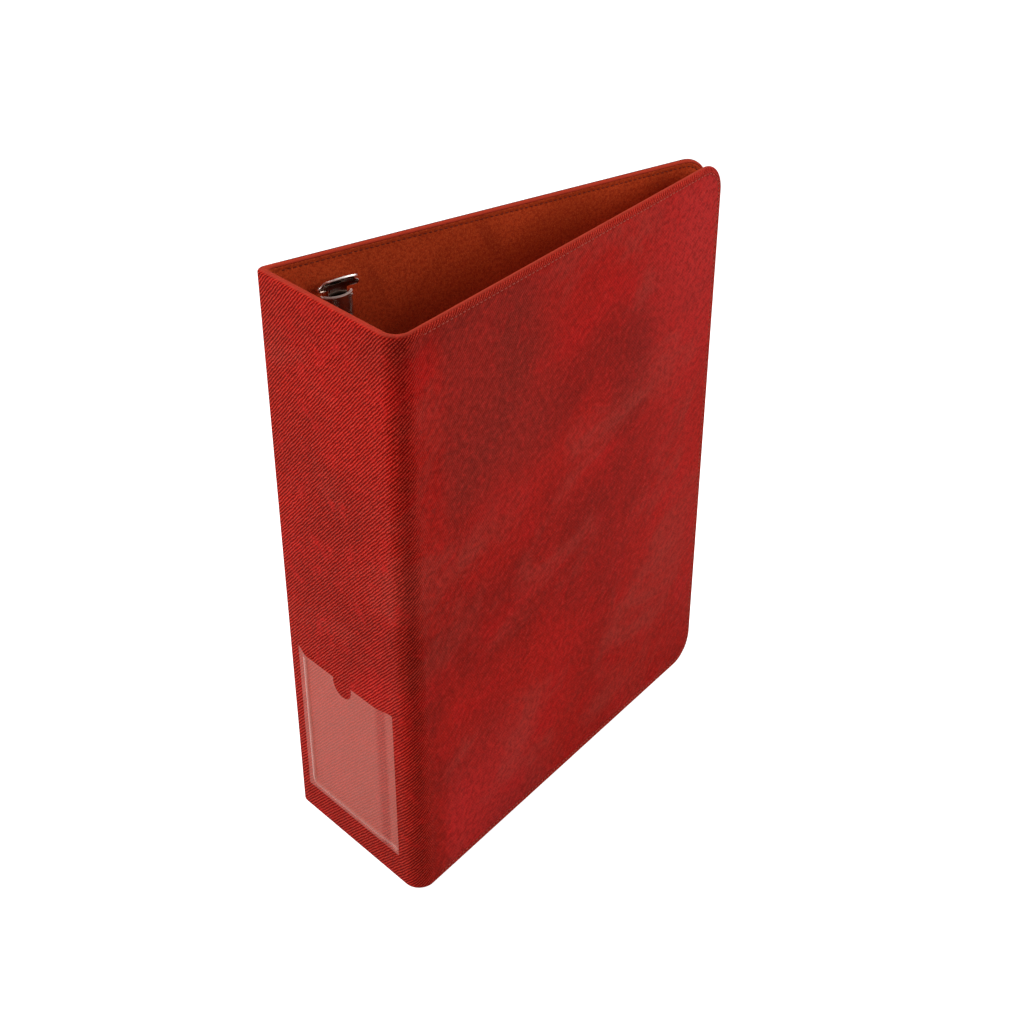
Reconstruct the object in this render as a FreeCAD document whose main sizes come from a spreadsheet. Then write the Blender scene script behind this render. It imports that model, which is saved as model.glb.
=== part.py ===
"""Trading card binder: board case with a ribbed skin, lining, label pocket and a three-ring mechanism.

Millimetres, +Z up.  The binder stands on its lower edge: z = 0 is that edge, y = 0 is the outer face
of the spine and the covers run towards +Y.  The back cover, which carries the rings, is on the -X side.
A cover is built in its own frame: local X is the depth from its outer face, local Y the distance from
the virtual corner it shares with the spine, local Z the height.
"""
import FreeCAD, Part
import os
import Sketcher

DIMENSIONS = [
    ("binder_height", 320.0, "height of the case"),
    ("spine_width", 100.2, "spine, between the virtual outer corners"),
    ("cover_depth", 257.5, "cover, from the virtual corner to the fore edge"),
    ("lean", 9.79, "degrees each cover leans inward from square when closed"),
    ("corner_radius", 16.5, "rounded fore-edge corners"),
    ("bend_back", 2.6, "outer radius of the bend between spine and back cover"),
    ("bend_front", 9.5, "outer radius of the bend between spine and front cover"),
    ("skin", 0.7, "outer skin thickness"),
    ("board", 2.0, "board thickness"),
    ("lining", 0.7, "lining thickness"),
    ("turn_in", 0.8, "skin turned over the board's edge"),
    ("board_inset", 1.0, "board edge inside the skin's outline"),
    ("lining_inset", 0.6, "lining edge inside the skin's outline"),
    ("edge_round", 1.0, "fillet along the cover's outer rim"),
    ("hinge_gap", 0.5, "gap that divides a hinge strip from the cover panel"),
    ("back_lining_bend", 3.0, "inner radius of the lining in the back corner"),
    ("back_board_start", 4.5, "board edge from the virtual back corner"),
    ("front_board_start", 12.0, "board edge from the virtual front corner"),
    ("pocket_left", 8.6, "label pocket's left edge from the back corner"),
    ("pocket_width", 76.0, "label pocket width"),
    ("pocket_bottom", 17.5, "label pocket's lower edge"),
    ("pocket_height", 93.4, "label pocket height at its sides"),
    ("pocket_mouth_drop", 3.0, "mouth of the pocket below its side ends"),
    ("pocket_film", 0.3, "clear film thickness"),
    ("pocket_room", 0.8, "room for a card behind the film"),
    ("pocket_weld", 4.5, "welded border of the pocket"),
    ("notch_radius", 8.0, "thumb notch radius"),
    ("mech_centre", 38.2, "ring mechanism's centre line from the back corner"),
    ("shell_length", 278.0, "ring shell length"),
    ("shell_width", 16.0, "ring shell width"),
    ("shell_side", 1.2, "straight side of the ring shell"),
    ("shell_rise", 3.2, "crown of the ring shell above its sides"),
    ("shell_metal", 0.7, "ring shell metal thickness"),
    ("ring_pitch", 108.0, "distance between rings"),
    ("wire_radius", 2.0, "ring wire radius"),
    ("wire_hole", 2.9, "hole in the shell round a ring wire"),
    ("stub_radius", 1.2, "riveted end of a ring wire"),
    ("plate_gap", 0.3, "gap between the two hinge plates"),
    ("plate_metal", 0.9, "hinge plate thickness"),
    ("plate_lift", 0.5, "hinge plate above the lining"),
    ("plate_length", 266.0, "hinge plate length"),
    ("plate_side", 2.1, "hinge plate's outer edge from the shell's outer edge"),
    ("rivet_pitch", 235.0, "distance between the mounting rivets"),
    ("rivet_radius", 2.2, "rivet shank radius"),
    ("rivet_head", 4.2, "rivet head radius"),
    ("rivet_head_high", 1.1, "rivet head height"),
    ("rivet_clearance", 0.05, "radial clearance round the rivet shank"),
    ("rivet_flange_high", 0.8, "clinched rivet flange inside the board"),
    ("rivet_notch", 3.5, "notch in the hinge plates round a rivet"),
    ("curve_foot", 3.9, "curved ring half's foot from the centre line"),
    ("foot_rise", 2.4, "straight foot of a curved ring half"),
    ("foot_bend", 5.0, "bend at the foot of a curved ring half"),
    ("ring_arc", 23.5, "radius low on the ring's round side"),
    ("ring_top_arc", 20.9, "radius over the ring's top"),
    ("ring_flank", 12.6, "straight flank of the ring's round side"),
    ("post_foot", 3.6, "post ring half's foot from the centre line"),
    ("post_foot_rise", 2.0, "straight foot of a post ring half"),
    ("post_bend", 4.0, "bends at the foot of a post"),
    ("post_top_bend", 4.6, "bend at the top of a post"),
    ("ring_tip_gap", 0.15, "gap between closed ring tips"),
    ("lever_metal", 0.9, "lever metal thickness"),
    ("lever_width", 21.4, "lever width over its shoulders"),
    ("lever_tab", 15.0, "thumb tab width"),
    ("lever_neck", 9.6, "lever neck width in the shell's mouth"),
    ("lever_tongue", 6.0, "lever tongue width inside the shell"),
    ("pin_from_end", 2.2, "lever pin inside the shell's end"),
    ("pin_height", 1.5, "lever pin's centre above the lining"),
    ("pin_radius", 0.8, "lever pin radius"),
    ("pin_clearance", 0.05, "radial running clearance round a lever pin"),
    ("barrel_radius", 1.4, "lever barrel round its pin"),
]

doc = FreeCAD.newDocument("CardBinder")
sheet = doc.addObject("Spreadsheet::Sheet", "Dims")


def fill_sheet():
    """One row per driving dimension: name, value with an alias, and what it is."""
    for row, (alias, value, meaning) in enumerate(DIMENSIONS, start=1):
        sheet.set("A%d" % row, alias)
        sheet.set("B%d" % row, str(value))
        sheet.set("C%d" % row, meaning)
        sheet.setAlias("B%d" % row, alias)
    doc.recompute()


def bind(text):
    """Turns $name into a reference to the sheet's cell of that name."""
    return text.replace("$", "Dims.")


def number(text):
    """Value of an expression over the sheet's cells."""
    result = sheet.evalExpression(bind(text))
    return float(getattr(result, "Value", result))


# Lengths worked out from the driving dimensions, as expressions over the sheet
PANEL = "($skin + $board + $lining)"
HALF_TURN = "((90 deg + $lean * 1 deg) / 2)"
BACK_TANGENT = "($bend_back * tan(" + HALF_TURN + "))"
FRONT_TANGENT = "($bend_front * tan(" + HALF_TURN + "))"
BACK_LINING_TANGENT = "((" + PANEL + " + $back_lining_bend) * tan(" + HALF_TURN + "))"
BACK_CORNER = "(-$spine_width / 2)"
FRONT_CORNER = "($spine_width / 2)"
MIDDLE = "($binder_height / 2)"
PLATE_LOW = "(" + PANEL + " + $plate_lift)"
PLATE_HIGH = "(" + PLATE_LOW + " + $plate_metal)"
SHELL_CROWN = "(" + PANEL + " + $shell_side + $shell_rise)"


# ---------------------------------------------------------------- helpers

def set_expression(obj, prop, text):
    obj.setExpression(prop, bind(text))


def stand_on_back_cover(obj):
    """Places an object built in the back cover's frame."""
    obj.Placement = FreeCAD.Placement(FreeCAD.Vector(number(BACK_CORNER), 0, 0),
                                      FreeCAD.Rotation(FreeCAD.Vector(0, 0, 1), -number("$lean")))
    set_expression(obj, "Placement.Base.x", BACK_CORNER)
    set_expression(obj, "Placement.Rotation.Angle", "-$lean * 1 deg")


def stand_on_front_cover(obj):
    """Places an object built in the front cover's frame, whose local X points outward."""
    obj.Placement = FreeCAD.Placement(FreeCAD.Vector(number(FRONT_CORNER), 0, 0),
                                      FreeCAD.Rotation(FreeCAD.Vector(0, 0, 1), number("$lean")))
    set_expression(obj, "Placement.Base.x", FRONT_CORNER)
    set_expression(obj, "Placement.Rotation.Angle", "$lean * 1 deg")


def new_body(label):
    body = doc.addObject("PartDesign::Body", label)
    body.Label = label
    return body


def new_sketch(body, name, plane, offset="0"):
    """Sketch on one of the body's origin planes, moved along the plane's normal by offset."""
    sketch = body.newObject("Sketcher::SketchObject", name)
    base = [f for f in body.Origin.OriginFeatures if f.Role == plane][0]
    sketch.AttachmentSupport = [(base, "")]
    sketch.MapMode = "FlatFace"
    if offset != "0":
        set_expression(sketch, "AttachmentOffset.Base.z", offset)
    return sketch


def pin_point(sketch, geo, pos, x, y):
    """Fixes a point of the sketch at the two expressions."""
    for kind, text, axis in (("DistanceX", x, -2), ("DistanceY", y, -1)):
        if abs(number(text)) < 1e-9:
            sketch.addConstraint(Sketcher.Constraint("PointOnObject", geo, pos, axis))
            continue
        index = sketch.addConstraint(Sketcher.Constraint(kind, -1, 1, geo, pos, number(text)))
        set_expression(sketch, "Constraints[%d]" % index, text)


def add_circle(sketch, x, y, radius):
    centre = FreeCAD.Vector(number(x), number(y), 0)
    geo = sketch.addGeometry(Part.Circle(centre, FreeCAD.Vector(0, 0, 1), number(radius)))
    pin_point(sketch, geo, 3, x, y)
    index = sketch.addConstraint(Sketcher.Constraint("Radius", geo, number(radius)))
    set_expression(sketch, "Constraints[%d]" % index, radius)


def arc_between(start, end, radius, left):
    """Circular arc from start to end that bulges to the right or the left of the chord."""
    chord = end - start
    half = chord.Length / 2
    normal = FreeCAD.Vector(-chord.y, chord.x, 0).normalize()
    if left:
        normal = normal * -1
    depth = max(radius * radius - half * half, 0) ** 0.5
    centre = (start + end) * 0.5 + normal * depth
    middle = centre - normal * radius
    return Part.Arc(start, middle, end)


def add_outline(sketch, corners, closed=True):
    """Chain of lines and arcs.  A corner is (x, y) or (x, y, radius, side), where the radius is of the
    arc that leaves the corner and side says to which side of its chord it bulges."""
    count = len(corners)
    points = [FreeCAD.Vector(number(c[0]), number(c[1]), 0) for c in corners]
    steps = count if closed else count - 1
    made = []
    for i in range(steps):
        start, end = points[i], points[(i + 1) % count]
        if len(corners[i]) == 4:
            curve = arc_between(start, end, number(corners[i][2]), corners[i][3] == "left")
            geo = sketch.addGeometry(curve)
        else:
            geo = sketch.addGeometry(Part.LineSegment(start, end))
        made.append(geo)
    for i in range(steps):
        first, last = end_positions(sketch, made[i], points[i])
        pin_point(sketch, made[i], first, corners[i][0], corners[i][1])
        if i + 1 < steps or closed:
            following = made[(i + 1) % steps]
            start_of_next = end_positions(sketch, following, points[(i + 1) % count])[0]
            sketch.addConstraint(Sketcher.Constraint("Coincident", made[i], last,
                                                     following, start_of_next))
        else:
            pin_point(sketch, made[i], last, corners[-1][0], corners[-1][1])
        if len(corners[i]) == 4:
            radius = Sketcher.Constraint("Radius", made[i], number(corners[i][2]))
            index = sketch.addConstraint(radius)
            set_expression(sketch, "Constraints[%d]" % index, corners[i][2])


def end_positions(sketch, geo, start):
    """Which end of the curve lies at start: (1, 2) or (2, 1)."""
    if sketch.getPoint(geo, 1).distanceToPoint(start) < 1e-6:
        return 1, 2
    return 2, 1


def rectangle(x0, x1, y0, y1):
    return [(x0, y0), (x1, y0), (x1, y1), (x0, y1)]


def add_feature(body, kind, name, sketch, length, back=False, midplane=False):
    """Pad or Pocket of a sketch by an expression, or through everything when length is None."""
    feature = body.newObject("PartDesign::" + kind, name)
    feature.Profile = sketch
    if length is None:
        feature.Type = "ThroughAll"
    else:
        feature.Length = number(length)
        set_expression(feature, "Length", length)
    feature.Reversed = back
    feature.Midplane = midplane
    sketch.Visibility = False
    doc.recompute()
    return feature


def add_tool(kind, name, **expressions):
    """Part primitive with its properties bound to expressions."""
    tool = doc.addObject("Part::" + kind, name)
    for prop, text in expressions.items():
        set_expression(tool, prop, text)
    return tool


def join(kind, label, *shapes):
    """Cut, Common or MultiFuse of Part objects."""
    result = doc.addObject("Part::" + kind, label)
    result.Label = label
    if kind == "MultiFuse":
        result.Shapes = list(shapes)
    else:
        result.Base, result.Tool = shapes
    return result


# ---------------------------------------------------------------- covers

def panel_outline(start, inset):
    """Cover outline from start to the fore edge, inset all round, with round fore corners."""
    far = "$cover_depth - %s" % inset
    low = inset
    high = "$binder_height - %s" % inset
    radius = "($corner_radius - %s)" % inset
    return [(start, low),
            ("%s - %s" % (far, radius), low, radius, "right"),
            (far, "%s + %s" % (low, radius)),
            (far, "%s - %s" % (high, radius), radius, "right"),
            ("%s - %s" % (far, radius), high),
            (start, high)]


def cover_layer(label, place, side, start, inset, depth, thickness, round_holes=()):
    """Flat layer of a cover.  side is 1 where the depth runs along local +X and -1 where along -X."""
    body = new_body(label)
    sketch = new_sketch(body, label + "_outline", "YZ_Plane", "%d * (%s)" % (side, depth))
    add_outline(sketch, panel_outline(start, inset))
    add_feature(body, "Pad", label + "_pad", sketch, thickness, back=side < 0)
    for name, radius, hole_depth in round_holes:
        holes = new_sketch(body, label + "_" + name, "YZ_Plane", depth)
        for height in rivet_heights():
            add_circle(holes, "$mech_centre", height, radius)
        add_feature(body, "Pocket", label + "_" + name + "_cut", holes, hole_depth, back=True)
    place(body)
    return body


def cover_skin(label, place, side, start):
    """Outer skin of a cover: a sheet turned in over the board's edges on three sides."""
    body = new_body(label)
    outline = new_sketch(body, label + "_outline", "YZ_Plane")
    add_outline(outline, panel_outline(start, "0"))
    add_feature(body, "Pad", label + "_pad", outline, "$skin + $board", back=side < 0)
    hollow = new_sketch(body, label + "_hollow", "YZ_Plane", "%d * $skin" % side)
    add_outline(hollow, panel_outline("%s - 1" % start, "$turn_in"))
    add_feature(body, "Pocket", label + "_cut", hollow, "$board + 1", back=side > 0)
    tray = body.Tip
    rim = [n + 1 for n, edge in enumerate(tray.Shape.Edges) if on_outer_rim(edge, number(start))]
    fillet = body.newObject("PartDesign::Fillet", label + "_round")
    fillet.Base = (tray, ["Edge%d" % n for n in rim])
    set_expression(fillet, "Radius", "$edge_round")
    body.Tip = fillet
    doc.recompute()
    place(body)
    return body


def on_outer_rim(edge, start):
    """Edges of the outer face, except the one at the hinge."""
    box = edge.BoundBox
    flat = abs(box.XMin) < 1e-6 and abs(box.XMax) < 1e-6
    return flat and box.YMax > start + 1e-6


def rivet_heights():
    return [MIDDLE + " - $rivet_pitch / 2", MIDDLE + " + $rivet_pitch / 2"]


def ring_heights():
    return {"bottom": MIDDLE + " - $ring_pitch",
            "middle": MIDDLE,
            "top": MIDDLE + " + $ring_pitch"}


def build_covers():
    shank = "$rivet_radius + $rivet_clearance"
    flange = "$rivet_head + 0.3"
    back_start = BACK_TANGENT + " + $hinge_gap"
    front_start = FRONT_TANGENT + " + $hinge_gap"
    back_lining_start = BACK_LINING_TANGENT + " + $hinge_gap"
    under_lining = "$skin + $board"
    parts = [
        cover_skin("back_skin", stand_on_back_cover, 1, back_start),
        cover_layer("back_board", stand_on_back_cover, 1, "$back_board_start", "$board_inset",
                    "$skin", "$board",
                    [("shanks", shank, None), ("flanges", flange, "$rivet_flange_high + 0.1")]),
        cover_layer("back_lining", stand_on_back_cover, 1, back_lining_start, "$lining_inset",
                    under_lining, "$lining", [("shanks", shank, None)]),
        cover_skin("front_skin", stand_on_front_cover, -1, front_start),
        cover_layer("front_board", stand_on_front_cover, -1, "$front_board_start", "$board_inset",
                    "$skin", "$board"),
        cover_layer("front_lining", stand_on_front_cover, -1, front_start, "$lining_inset",
                    under_lining, "$lining"),
    ]
    return parts


# ---------------------------------------------------------------- spine

def spine_layer(label, left, right, inset, depth, thickness):
    """Flat layer of the spine between two expressions for x."""
    body = new_body(label)
    sketch = new_sketch(body, label + "_outline", "XZ_Plane", "-(%s)" % depth)
    add_outline(sketch, rectangle(left, right, inset, "$binder_height - %s" % inset))
    add_feature(body, "Pad", label + "_pad", sketch, thickness, back=True)
    return body


def build_spine():
    left_skin = BACK_CORNER + " + " + BACK_TANGENT
    right_skin = FRONT_CORNER + " - " + FRONT_TANGENT
    skin = spine_layer("spine_skin", left_skin, right_skin, "0", "0", "$skin + $board")
    hollow = new_sketch(skin, "spine_skin_hollow", "XZ_Plane", "-$skin")
    add_outline(hollow, rectangle(left_skin + " - 1", right_skin + " + 1",
                                  "$turn_in", "$binder_height - $turn_in"))
    add_feature(skin, "Pocket", "spine_skin_cut", hollow, "$board + 1", back=False)
    board = spine_layer("spine_board", BACK_CORNER + " + $back_board_start",
                        FRONT_CORNER + " - $front_board_start", "$board_inset", "$skin", "$board")
    lining = spine_layer("spine_lining", BACK_CORNER + " + " + BACK_LINING_TANGENT, right_skin,
                         "$lining_inset", "$skin + $board", "$lining")
    return [skin, board, lining]


def bend_strip(label, centre_x, centre_y, first_angle, outer, inner, inset):
    """Strip of skin or lining bent round one of the long corners."""
    solids = []
    for name, radius, extra in ((label + "_outer", outer, "0"), (label + "_inner", inner, "1")):
        tool = add_tool("Cylinder", name, Radius=radius, Angle="(90 + $lean) * 1 deg",
                        Height="$binder_height - 2 * %s + 2 * %s" % (inset, extra))
        tool.Placement = FreeCAD.Placement(FreeCAD.Vector(), FreeCAD.Rotation(
            FreeCAD.Vector(0, 0, 1), number(first_angle)))
        set_expression(tool, "Placement.Base.x", centre_x)
        set_expression(tool, "Placement.Base.y", centre_y)
        set_expression(tool, "Placement.Base.z", "%s - %s" % (inset, extra))
        set_expression(tool, "Placement.Rotation.Angle", "(%s) * 1 deg" % first_angle)
        solids.append(tool)
    solids[1].Angle = 360
    solids[1].setExpression("Angle", None)
    return join("Cut", label, *solids)


def build_bends():
    back_x = BACK_CORNER + " + " + BACK_TANGENT
    front_x = FRONT_CORNER + " - " + FRONT_TANGENT
    lining_x = BACK_CORNER + " + " + BACK_LINING_TANGENT
    back_first = "180 - $lean"
    front_first = "270"
    return [
        bend_strip("back_hinge_skin", back_x, "$bend_back", back_first,
                   "$bend_back", "$bend_back - $skin", "0"),
        bend_strip("back_hinge_lining", lining_x, PANEL + " + $back_lining_bend", back_first,
                   "$back_lining_bend + $lining", "$back_lining_bend", "$lining_inset"),
        bend_strip("front_hinge_skin", front_x, "$bend_front", front_first,
                   "$bend_front", "$bend_front - $skin", "0"),
        bend_strip("front_hinge_lining", front_x, "$bend_front", front_first,
                   "$bend_front - $skin - $board", "$bend_front - " + PANEL, "$lining_inset"),
    ]


def build_label_pocket():
    """Clear film: a flat welded border on three sides and a raised front, open at the top."""
    left = BACK_CORNER + " + $pocket_left"
    right = left + " + $pocket_width"
    low = "$pocket_bottom"
    high = "$pocket_bottom + $pocket_height"
    mouth = high + " - $pocket_mouth_drop"
    inner_left = left + " + $pocket_weld"
    inner_right = right + " - $pocket_weld"
    inner_low = low + " + $pocket_weld"
    centre = left + " + $pocket_width / 2"
    body = new_body("label_pocket")
    border = new_sketch(body, "pocket_border", "XZ_Plane")
    add_outline(border, [(left, low), (right, low), (right, high), (inner_right, high),
                         (inner_right, mouth), (inner_left, mouth), (inner_left, high), (left, high)])
    add_feature(body, "Pad", "pocket_border_pad", border, "$pocket_film")
    front = new_sketch(body, "pocket_front", "XZ_Plane")
    add_outline(front, rectangle(inner_left, inner_right, inner_low, mouth))
    add_feature(body, "Pad", "pocket_front_pad", front, "$pocket_film + $pocket_room")
    room = new_sketch(body, "pocket_room", "XZ_Plane")
    add_outline(room, rectangle(inner_left + " + $pocket_film", inner_right + " - $pocket_film",
                                inner_low + " + $pocket_film", mouth + " + 1"))
    add_feature(body, "Pocket", "pocket_room_cut", room, "$pocket_room", back=True)
    notch = new_sketch(body, "pocket_notch", "XZ_Plane")
    add_circle(notch, centre, mouth + " - 1", "$notch_radius")
    add_feature(body, "Pocket", "pocket_notch_cut", notch, None, midplane=True)
    return body


# ---------------------------------------------------------------- ring mechanism

def shell_section(inset, foot):
    """Section of the shell in the plane across it: two short sides joined by an arc."""
    half = "($shell_width / 2 - %s)" % inset
    rise = "$shell_rise"
    radius = "((%s ^ 2 + %s ^ 2) / (2 * %s))" % (half, rise, rise)
    low = PANEL + " - %s" % foot
    shoulder = PANEL + " + $shell_side - %s" % inset
    near = "$mech_centre - " + half
    far = "$mech_centre + " + half
    return [(low, near), (low, far), (shoulder, far, radius, "left"), (shoulder, near)]


def build_shell():
    body = new_body("ring_shell")
    start = "(%s - $shell_length / 2)" % MIDDLE
    outside = new_sketch(body, "shell_outside", "XY_Plane", start)
    add_outline(outside, shell_section("0", "0"))
    add_feature(body, "Pad", "shell_pad", outside, "$shell_length")
    inside = new_sketch(body, "shell_inside", "XY_Plane", start)
    add_outline(inside, shell_section("$shell_metal", "1"))
    add_feature(body, "Pocket", "shell_hollow", inside, "$shell_length", back=True)
    holes = new_sketch(body, "shell_holes", "YZ_Plane")
    for height in ring_heights().values():
        add_circle(holes, "$mech_centre - $curve_foot - 0.2", height, "$wire_hole")
        add_circle(holes, "$mech_centre + $post_foot + 0.2", height, "$wire_hole")
    for height in rivet_heights():
        add_circle(holes, "$mech_centre", height, "$rivet_radius + $rivet_clearance")
    add_feature(body, "Pocket", "shell_holes_cut", holes, None, back=True)
    pins = new_sketch(body, "shell_pin_holes", "XZ_Plane", "-$mech_centre")
    for height in pin_heights():
        add_circle(pins, PANEL + " + $pin_height", height, "$pin_radius")
    add_feature(body, "Pocket", "shell_pin_cut", pins, None, midplane=True)
    stand_on_back_cover(body)
    return body


def pin_heights():
    reach = "($shell_length / 2 - $pin_from_end)"
    return [MIDDLE + " - " + reach, MIDDLE + " + " + reach]


def build_lever_pins():
    """Two cross pins, each as long as the shell is wide at the pin's height."""
    crown_radius = "((($shell_width / 2) ^ 2 + $shell_rise ^ 2) / (2 * $shell_rise))"
    above = "($pin_height + %s - $shell_side - $shell_rise)" % crown_radius
    half = "sqrt(%s ^ 2 - %s ^ 2)" % (crown_radius, above)
    pins = []
    for index, height in enumerate(pin_heights()):
        pin = add_tool("Cylinder", "lever_pin_%d" % index, Radius="$pin_radius",
                       Height="2 * %s" % half)
        pin.Placement.Rotation = FreeCAD.Rotation(FreeCAD.Vector(1, 0, 0), -90)
        set_expression(pin, "Placement.Base.x", PANEL + " + $pin_height")
        set_expression(pin, "Placement.Base.y", "$mech_centre - %s" % half)
        set_expression(pin, "Placement.Base.z", height)
        pins.append(pin)
    group = join("MultiFuse", "lever_pins", *pins)
    stand_on_back_cover(group)
    return group


def build_rivets():
    """Two rivets: head on the shell, shank through the mechanism, flange sunk in the board."""
    levels = (("head", "$rivet_head", SHELL_CROWN, "$rivet_head_high"),
              ("shank", "$rivet_radius", "$skin", SHELL_CROWN + " - $skin"),
              ("flange", "$rivet_head", "$skin", "$rivet_flange_high"))
    tools = []
    for index, height in enumerate(rivet_heights()):
        for name, radius, start, length in levels:
            disc = add_tool("Cylinder", "rivet_%s_%d" % (name, index), Radius=radius, Height=length)
            disc.Placement.Rotation = FreeCAD.Rotation(FreeCAD.Vector(0, 1, 0), 90)
            set_expression(disc, "Placement.Base.x", start)
            set_expression(disc, "Placement.Base.y", "$mech_centre")
            set_expression(disc, "Placement.Base.z", height)
            tools.append(disc)
    group = join("MultiFuse", "mounting_rivets", *tools)
    stand_on_back_cover(group)
    return group


def hinge_plate(label, side, foot):
    """Long plate under the shell, from the shell's side to the centre line."""
    inner = "$mech_centre + %d * $plate_gap / 2" % side
    outer = "$mech_centre + %d * ($shell_width / 2 - $plate_side)" % side
    low = MIDDLE + " - $plate_length / 2"
    high = MIDDLE + " + $plate_length / 2"
    body = new_body(label)
    outline = new_sketch(body, label + "_outline", "YZ_Plane", PLATE_LOW)
    add_outline(outline, rectangle(inner, outer, low, high))
    add_feature(body, "Pad", label + "_pad", outline, "$plate_metal")
    cuts = new_sketch(body, label + "_cuts", "YZ_Plane", PLATE_LOW)
    for height in ring_heights().values():
        add_circle(cuts, "$mech_centre + %d * %s" % (side, foot), height, "$stub_radius")
    for height in rivet_heights():
        add_circle(cuts, "$mech_centre", height, "$rivet_notch")
    add_feature(body, "Pocket", label + "_cut", cuts, None, back=True)
    stand_on_back_cover(body)
    return body


def ring_half(label, height, foot, path):
    """Round wire swept along a path, with a riveted stub through its hinge plate."""
    body = new_body(label)
    profile = new_sketch(body, label + "_section", "YZ_Plane", PLATE_HIGH)
    add_circle(profile, foot, height, "$wire_radius")
    spine = new_sketch(body, label + "_path", "XY_Plane", height)
    add_outline(spine, path, closed=False)
    doc.recompute()
    pipe = body.newObject("PartDesign::AdditivePipe", label + "_wire")
    pipe.Profile = profile
    pipe.Spine = (spine, ["Edge%d" % (n + 1) for n in range(len(path) - 1)])
    doc.recompute()
    stub = new_sketch(body, label + "_stub", "YZ_Plane", PLATE_LOW)
    add_circle(stub, foot, height, "$stub_radius")
    add_feature(body, "Pad", label + "_stub_pad", stub, "$plate_metal + 0.1")
    stand_on_back_cover(body)
    return body


def curve_path():
    """Round side of the ring: up through the shell, out towards the spine, up and over the post."""
    foot = "($mech_centre - $curve_foot)"
    rise = "(" + PLATE_HIGH + " + $foot_rise)"
    out = "(%s - $foot_bend / 2)" % foot
    out_rise = "(%s + $foot_bend * sin(60 deg))" % rise
    flank = "(%s - $ring_arc / 2)" % out
    flank_low = "(%s + $ring_arc * sin(60 deg))" % out_rise
    flank_high = "(%s + $ring_flank)" % flank_low
    top = "(%s + $ring_top_arc)" % flank_high
    tip = "(%s + $ring_top_arc)" % flank
    return [(PLATE_HIGH, foot),
            (rise, foot, "$foot_bend", "left"),
            (out_rise, out, "$ring_arc", "right"),
            (flank_low, flank),
            (flank_high, flank, "$ring_top_arc", "right"),
            (top, tip)], top, tip


def post_path(top, tip):
    """Straight side of the ring: stepped out past the shell, then straight up and hooked inward."""
    foot = "($mech_centre + $post_foot)"
    rise = "(" + PLATE_HIGH + " + $post_foot_rise)"
    step = "(%s + $post_bend / 2)" % foot
    step_rise = "(%s + $post_bend * sin(60 deg))" % rise
    post = "(%s + $post_bend / 2)" % step
    post_low = "(%s + $post_bend * sin(60 deg))" % step_rise
    return [(PLATE_HIGH, foot),
            (rise, foot, "$post_bend", "right"),
            (step_rise, step, "$post_bend", "left"),
            (post_low, post),
            ("%s - $post_top_bend" % top, post, "$post_top_bend", "left"),
            (top, "%s - $post_top_bend" % post),
            (top, "%s + $ring_tip_gap" % tip)]


def build_rings():
    curve, top, tip = curve_path()
    post = post_path(top, tip)
    parts = [hinge_plate("hinge_plate_curved", -1, "$curve_foot"),
             hinge_plate("hinge_plate_post", 1, "$post_foot")]
    for place, height in ring_heights().items():
        parts.append(ring_half("ring_curve_" + place, height, "$mech_centre - $curve_foot", curve))
        parts.append(ring_half("ring_post_" + place, height, "$mech_centre + $post_foot", post))
    return parts


# ---------------------------------------------------------------- levers

def lever_section(end):
    """Lever seen from its side: tongue and neck nearly level, shoulders, then a raised thumb tab.
    end is the height of the pin and way is +1 for the upper lever, -1 for the lower one."""
    pin, way = end
    base = PANEL + " + $pin_height"
    line = [("-3", "0"), ("0", "0"), ("7.2", "1.3"), ("13.3", "6.9")]
    half = "$lever_metal / 2"
    upper = [("(%s) + (%s) + %s" % (base, v, half), "(%s) + %d * (%s)" % (pin, way, z))
             for z, v in line]
    lower = [("(%s) + (%s) - %s" % (base, v, half), "(%s) + %d * (%s)" % (pin, way, z))
             for z, v in reversed(line)]
    return upper + lower


def lever_cuts(end, side):
    """Cut-outs of one side of the lever, seen from the rings: beside the neck and beside the tab."""
    pin, way = end
    edge = "$mech_centre + %d * ($lever_width / 2 + 1)" % side
    neck = "$mech_centre + %d * $lever_neck / 2" % side
    tongue = "$mech_centre + %d * $lever_tongue / 2" % side
    tab = "$mech_centre + %d * $lever_tab / 2" % side
    shoulder = "$mech_centre + %d * ($lever_width / 2 - 1)" % side
    tab_tip = "$mech_centre + %d * ($lever_tab / 2 - 2.5)" % side

    def height(offset):
        return "(%s) + %d * %s" % (pin, way, offset)

    beside_neck = [(tongue, height(-4)), (tongue, height(0.6)), (neck, height(0.6)),
                   (neck, height(3.4)), (edge, height(3.4)), (edge, height(-4))]
    beside_tab = [(edge, height(7)), (shoulder, height(8)), (tab, height(8.6)),
                  (tab, height(11.2)), (tab_tip, height(13.7)), (tab_tip, height(16)),
                  (edge, height(16))]
    return beside_neck, beside_tab


def build_lever(label, end):
    pin, way = end
    body = new_body(label)
    section = new_sketch(body, label + "_section", "XZ_Plane", "-$mech_centre")
    add_outline(section, lever_section(end))
    add_feature(body, "Pad", label + "_pad", section, "$lever_width", midplane=True)
    cuts = new_sketch(body, label + "_cuts", "YZ_Plane")
    for side in (-1, 1):
        for outline in lever_cuts(end, side):
            add_outline(cuts, outline)
    add_feature(body, "Pocket", label + "_shape", cuts, None, back=True)
    barrel = new_sketch(body, label + "_barrel", "XZ_Plane", "-$mech_centre")
    add_circle(barrel, PANEL + " + $pin_height", pin, "$barrel_radius")
    add_feature(body, "Pad", label + "_barrel_pad", barrel, "$lever_tongue", midplane=True)
    bore = new_sketch(body, label + "_bore", "XZ_Plane", "-$mech_centre")
    add_circle(bore, PANEL + " + $pin_height", pin, "$pin_radius + $pin_clearance")
    add_feature(body, "Pocket", label + "_bore_cut", bore, None, midplane=True)
    stand_on_back_cover(body)
    return body


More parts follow.
